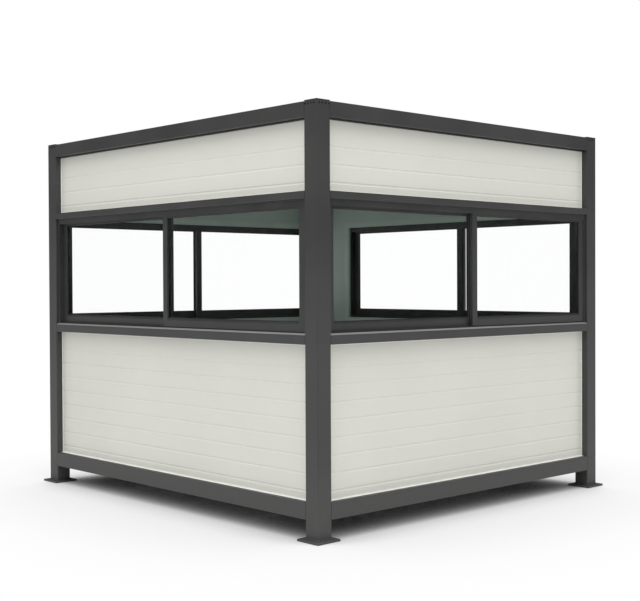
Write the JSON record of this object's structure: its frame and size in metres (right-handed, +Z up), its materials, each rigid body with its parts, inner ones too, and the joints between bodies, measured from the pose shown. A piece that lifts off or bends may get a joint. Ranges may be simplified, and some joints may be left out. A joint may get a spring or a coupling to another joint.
{
  "type": "site office cabin",
  "caption": "Square office cabin on short legs: painted steel frame, ribbed white sandwich panels, sliding windows all round, raised floor and sunk flat roof.",
  "frame": {"origin": "middle of the plan, at ground level under the base plates", "axes": "+X along the front wall to the right, +Y from the front wall to the back wall, +Z up"},
  "size_m": [2.866, 2.656, 2.375],
  "materials": {
    "frame_paint": "satin dark grey powder coat",
    "window_alloy": "satin dark grey coated aluminium",
    "panel_skin": "matt off-white coil coating on steel sheet",
    "white_trim": "satin white folded sheet",
    "glass": "clear float glass with a green tint",
    "floor_board": "plain cement board"
  },
  "bodies": {
    "root": {"base_plates": "frame_paint", "post_front_left": "frame_paint", "post_front_right": "frame_paint", "post_back_right": "frame_paint", "post_back_left": "frame_paint", "post_caps": "frame_paint", "front_bottom_rail": "frame_paint", "right_bottom_rail": "frame_paint", "back_bottom_rail": "frame_paint", "left_bottom_rail": "frame_paint", "front_sill_rail": "frame_paint", "right_sill_rail": "frame_paint", "back_sill_rail": "frame_paint", "left_sill_rail": "frame_paint", "front_lintel_rail": "frame_paint", "right_lintel_rail": "frame_paint", "back_lintel_rail": "frame_paint", "left_lintel_rail": "frame_paint", "front_top_rail": "frame_paint", "right_top_rail": "frame_paint", "back_top_rail": "frame_paint", "left_top_rail": "frame_paint", "front_lower_panel": "panel_skin", "right_lower_panel": "panel_skin", "back_lower_panel": "panel_skin", "left_lower_panel": "panel_skin", "front_upper_panel": "panel_skin", "right_upper_panel": "panel_skin", "back_upper_panel": "panel_skin", "left_upper_panel": "panel_skin", "back_side_panel": "panel_skin", "front_window_frame": "window_alloy", "right_window_frame": "window_alloy", "back_window_frame": "window_alloy", "left_window_frame": "window_alloy", "front_sashes": "window_alloy", "right_sashes": "window_alloy", "back_sashes": "window_alloy", "left_sashes": "window_alloy", "outer_panes": "glass", "inner_panes": "glass", "window_casings": "white_trim", "floor_board": "floor_board", "floor_joists": "frame_paint", "roof_panel": "panel_skin"}
  },
  "joints": []
}
